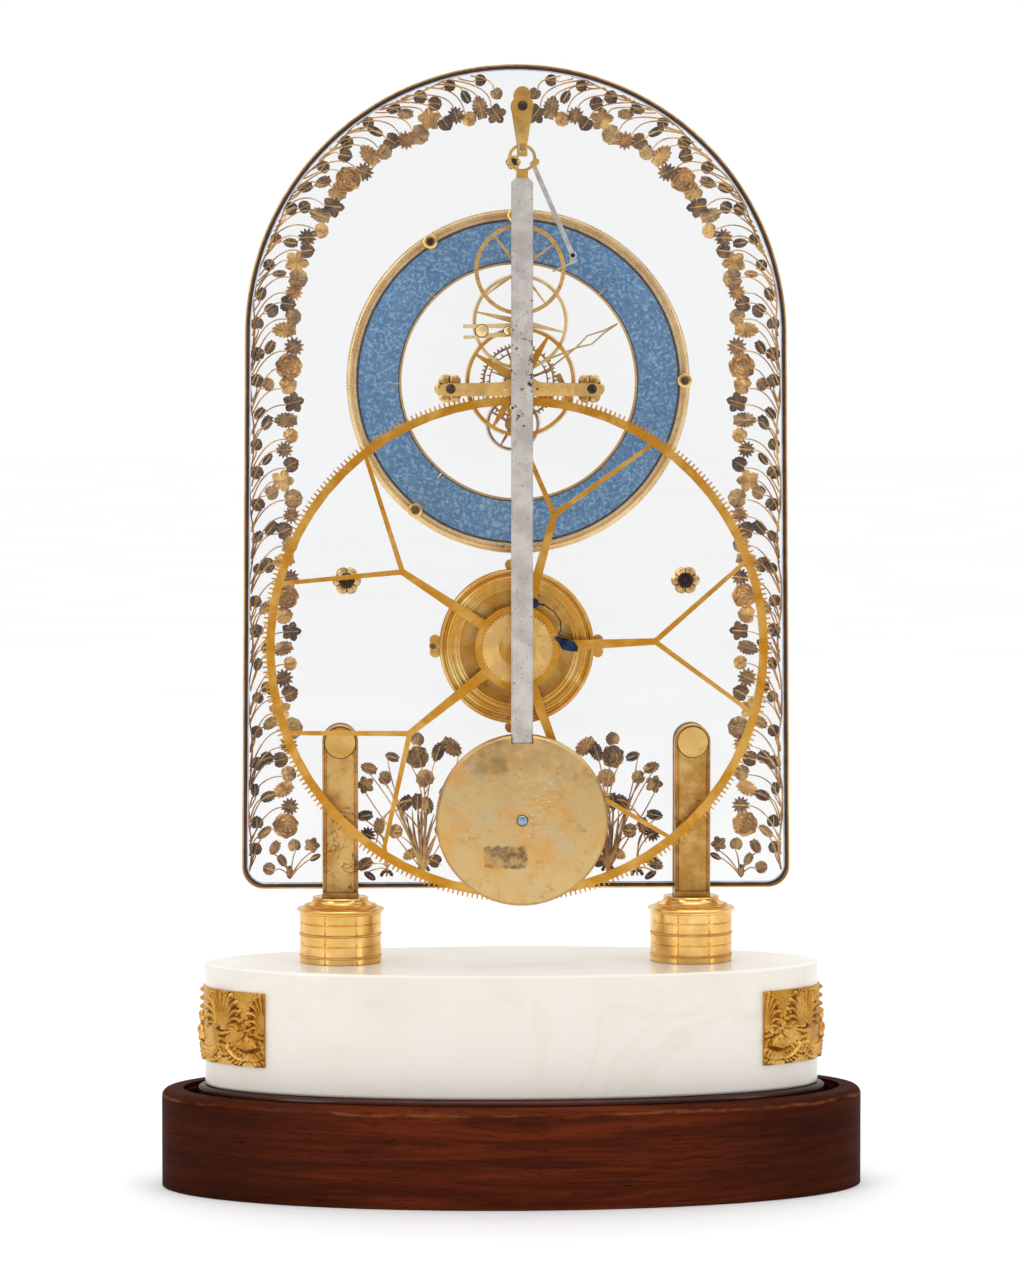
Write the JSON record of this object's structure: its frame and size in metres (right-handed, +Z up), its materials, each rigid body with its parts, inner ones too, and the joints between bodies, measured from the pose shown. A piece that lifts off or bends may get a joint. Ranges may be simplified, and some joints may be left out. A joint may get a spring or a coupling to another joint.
{
  "type": "skeleton clock",
  "caption": "Table skeleton clock: open wheel train and pendulum on an arched glass plate, with marble plinth and oval wooden base.",
  "frame": {"origin": "on the floor under the middle of the oval base", "axes": "+Z up, +X along the base, movement faces -Y, dial faces +Y"},
  "size_m": [0.2954, 0.143, 0.4704],
  "materials": {
    "mahogany": "polished",
    "mahogany_step": "polished",
    "marble": "polished",
    "gilt": "matt gilt",
    "gilt_relief": "chased gilt",
    "gilt_flowers": "aged gilt",
    "gilt_bob": "worn gilt",
    "gilt_barrel": "turned gilt",
    "wheel_brass": "lacquered",
    "fine_brass": "lacquered",
    "plate_glass": "clear",
    "blue_steel": "blued",
    "dark_steel": "browned",
    "rod_steel": "pitted",
    "bright_steel": "polished",
    "dial_enamel": "fired enamel",
    "plug_dark": "dark"
  },
  "bodies": {
    "clock": {"base_board": "mahogany_step", "base_rim": "mahogany", "inner_platform": "mahogany_step", "marble_plinth": "marble", "plaques": "gilt_relief", "plaque_nails": "gilt_relief", "sockets": "gilt", "socket_bolts": "dark_steel", "pillars": "gilt", "pillar_bosses": "gilt", "glass_plate": "plate_glass", "plate_band": "gilt", "garlands": "gilt_flowers", "bouquets": "gilt_flowers", "rosettes": "gilt_flowers", "rosette_plugs": "plug_dark", "plate_screws": "dark_steel", "dial_ring": "dial_enamel", "dial_inner_ring": "gilt", "dial_bezel": "gilt", "dial_washers": "gilt", "movement_pillars": "gilt", "barrel_drum": "gilt_barrel", "barrel_cover": "gilt_barrel", "barrel_ears": "gilt_barrel", "mainspring": "blue_steel", "rear_bridge": "gilt", "train_bar": "gilt", "third_cock": "gilt", "pivot_bushes": "fine_brass", "suspension_cock": "gilt", "cock_screws": "dark_steel", "date_jumper": "gilt"},
    "great_wheel": {"great_wheel": "wheel_brass", "click_screws": "blue_steel", "click_spring": "blue_steel"},
    "click": {"click": "blue_steel"},
    "winding": {"barrel_arbor": "gilt_barrel", "ratchet_wheel": "gilt_barrel"},
    "centre": {"centre_arbor": "bright_steel", "centre_pinions": "bright_steel", "centre_wheel": "wheel_brass", "minute_hand": "gilt"},
    "third": {"third_arbor": "bright_steel", "third_wheel": "fine_brass"},
    "escape": {"escape_arbor": "bright_steel", "escape_wheel": "fine_brass", "escape_pins": "fine_brass"},
    "minute": {"minute_wheel": "wheel_brass"},
    "hour": {"hour_wheel": "fine_brass", "hour_hand": "gilt"},
    "date": {"date_wheel": "fine_brass"},
    "pendulum": {"knife_edge": "bright_steel", "pendulum_ring": "gilt", "pendulum_rod": "rod_steel", "pendulum_bob": "gilt_bob", "pendulum_screws": "blue_steel", "pallet_arm": "bright_steel"}
  },
  "joints": [
    {"name": "centre_turn", "type": "hinge", "parent": "clock", "child": "centre", "pos_m": [0.0031, -0.0127, 0.3381], "axis": [0, 1, 0], "continuous": true},
    {"name": "great_turn", "type": "hinge", "parent": "clock", "child": "great_wheel", "pos_m": [0.0017, -0.0168, 0.2273], "axis": [0, 1, 0], "continuous": true},
    {"name": "third_turn", "type": "hinge", "parent": "clock", "child": "third", "pos_m": [0.0031, -0.0095, 0.363], "axis": [0, 1, 0], "continuous": true},
    {"name": "escape_turn", "type": "hinge", "parent": "clock", "child": "escape", "pos_m": [0.0031, -0.0066, 0.3849], "axis": [0, 1, 0], "continuous": true},
    {"name": "minute_turn", "type": "hinge", "parent": "clock", "child": "minute", "pos_m": [0.0006, 0.0059, 0.3202], "axis": [0, 1, 0], "continuous": true},
    {"name": "hour_turn", "type": "hinge", "parent": "clock", "child": "hour", "pos_m": [0.0031, 0.0078, 0.3381], "axis": [0, 1, 0], "continuous": true},
    {"name": "date_turn", "type": "hinge", "parent": "clock", "child": "date", "pos_m": [0.0031, 0.0096, 0.3381], "axis": [0, 1, 0], "continuous": true},
    {"name": "winding_turn", "type": "hinge", "parent": "great_wheel", "child": "winding", "pos_m": [0.0017, -0.0187, 0.2273], "axis": [0, 1, 0], "range_deg": [-1440, 0]},
    {"name": "click_lift", "type": "hinge", "parent": "great_wheel", "child": "click", "pos_m": [0.0227, -0.0187, 0.2285], "axis": [0, 1, 0], "range_deg": [0, 7]},
    {"name": "pendulum_swing", "type": "hinge", "parent": "clock", "child": "pendulum", "pos_m": [0.0031, -0.0315, 0.4329], "axis": [0, 1, 0], "range_deg": [-3, 3]}
  ],
  "couplings": [
    {"joint": "great_turn", "follows": "centre_turn", "ratio": -0.05},
    {"joint": "third_turn", "follows": "centre_turn", "ratio": -12},
    {"joint": "escape_turn", "follows": "centre_turn", "ratio": 120},
    {"joint": "minute_turn", "follows": "centre_turn", "ratio": -0.58333},
    {"joint": "hour_turn", "follows": "centre_turn", "ratio": 0.083333},
    {"joint": "date_turn", "follows": "centre_turn", "ratio": 0.0013441}
  ]
}
